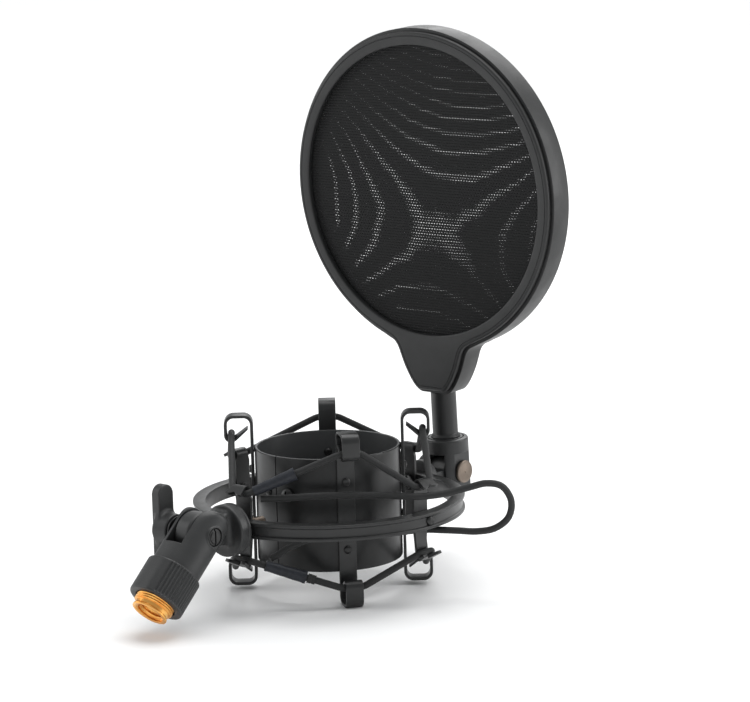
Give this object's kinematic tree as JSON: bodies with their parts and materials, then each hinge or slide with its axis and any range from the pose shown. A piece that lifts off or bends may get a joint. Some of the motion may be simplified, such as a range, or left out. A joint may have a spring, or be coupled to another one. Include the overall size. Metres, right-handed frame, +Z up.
{
  "type": "microphone shock mount with pop filter",
  "caption": "Elastic suspension cradle in a steel ring, with a tilting threaded stand swivel and a round double-mesh pop filter on a tilting, turning stem.",
  "frame": {"origin": "middle of the footprint, in the plane of the lowest hooks", "axes": "+Z up along the cradle tube, -Y towards the stand swivel, +Y towards the pop filter, X along the pivot bolts"},
  "size_m": [0.1448, 0.1868, 0.2184],
  "materials": {
    "satin_black_metal": "satin black paint",
    "black_plastic": "fine moulded grain",
    "elastic_cord": "braided elastic",
    "shrink_sleeve": "shrunk tube",
    "felt": "felt",
    "filter_mesh": "knitted nylon mesh",
    "gold_brass": "gold plated",
    "nickel": "nickel plated",
    "dark_steel": "blackened"
  },
  "bodies": {
    "outer_frame": {"outer_ring": "satin_black_metal", "band_post_1": "satin_black_metal", "band_post_2": "satin_black_metal", "band_post_3": "satin_black_metal", "band_post_4": "satin_black_metal", "post_rivet_1": "dark_steel", "post_rivet_2": "dark_steel", "swivel_bracket": "black_plastic", "swivel_fixing_screw": "nickel", "filter_bracket": "black_plastic", "filter_bracket_screw": "nickel", "upper_elastic": "elastic_cord", "lower_elastic": "elastic_cord", "upper_sleeve": "shrink_sleeve", "lower_sleeve": "shrink_sleeve", "sleeve_collar": "elastic_cord", "link_cord": "elastic_cord"},
    "cradle": {"cradle_tube": "satin_black_metal", "felt_liner": "felt", "clamp_plate": "dark_steel", "clamp_plate_rivet": "dark_steel", "cradle_hook_1": "satin_black_metal", "cradle_hook_2": "satin_black_metal", "cradle_hook_3": "satin_black_metal", "cradle_hook_4": "satin_black_metal", "strap_rivet_1": "dark_steel", "strap_rivet_2": "dark_steel", "strap_rivet_3": "dark_steel", "strap_rivet_4": "dark_steel", "strap_rivet_5": "dark_steel", "strap_rivet_6": "dark_steel", "strap_rivet_7": "dark_steel", "strap_rivet_8": "dark_steel"},
    "clamp_screw": {"clamp_screw": "nickel"},
    "stand_swivel": {"swivel_fork": "black_plastic", "swivel_pivot_bolt": "dark_steel", "swivel_washer": "dark_steel"},
    "wing_lever": {"wing_lever": "black_plastic"},
    "thread_adapter": {"thread_adapter": "gold_brass"},
    "filter_yoke": {"filter_yoke": "black_plastic", "filter_pivot_bolt": "nickel", "filter_washer": "dark_steel"},
    "filter_nut": {"filter_clamp_nut": "nickel"},
    "pop_filter": {"filter_stem": "black_plastic", "rear_shell": "black_plastic", "front_bezel": "black_plastic", "front_mesh": "filter_mesh", "rear_mesh": "filter_mesh", "mesh_spacer": "black_plastic", "neck_screw_1": "dark_steel", "neck_screw_2": "dark_steel"}
  },
  "joints": [
    {"name": "suspension_travel", "type": "slide", "parent": "outer_frame", "child": "cradle", "axis": [0, 0, 1], "range_m": [-0.003, 0.003], "stiffness_N_per_m": 2500, "deforming": ["upper_elastic", "upper_sleeve", "lower_elastic", "lower_sleeve", "sleeve_collar"]},
    {"name": "clamp_screw_turn", "type": "hinge", "parent": "cradle", "child": "clamp_screw", "pos_m": [0, 0.01236, 0.0427], "axis": [0.1771, -0.9842, 0], "continuous": true},
    {"name": "swivel_tilt", "type": "hinge", "parent": "outer_frame", "child": "stand_swivel", "pos_m": [0, -0.06174, 0.0353], "axis": [1, 0, 0], "range_deg": [-133.5, 46.5]},
    {"name": "wing_turn", "type": "hinge", "parent": "stand_swivel", "child": "wing_lever", "pos_m": [0, -0.06174, 0.0353], "axis": [1, 0, 0], "continuous": true},
    {"name": "adapter_turn", "type": "hinge", "parent": "stand_swivel", "child": "thread_adapter", "pos_m": [0, -0.06174, 0.0353], "axis": [0, -0.7254, -0.6884], "continuous": true},
    {"name": "filter_tilt", "type": "hinge", "parent": "outer_frame", "child": "filter_yoke", "pos_m": [0, 0.08476, 0.0344], "axis": [1, 0, 0], "range_deg": [-92, 27]},
    {"name": "filter_nut_turn", "type": "hinge", "parent": "filter_yoke", "child": "filter_nut", "pos_m": [0, 0.08476, 0.0344], "axis": [1, 0, 0], "continuous": true},
    {"name": "filter_swivel", "type": "hinge", "parent": "filter_yoke", "child": "pop_filter", "pos_m": [0, 0.08409, 0.04818], "axis": [0, -0.0489, 0.9988], "range_deg": [-90, 90]}
  ]
}
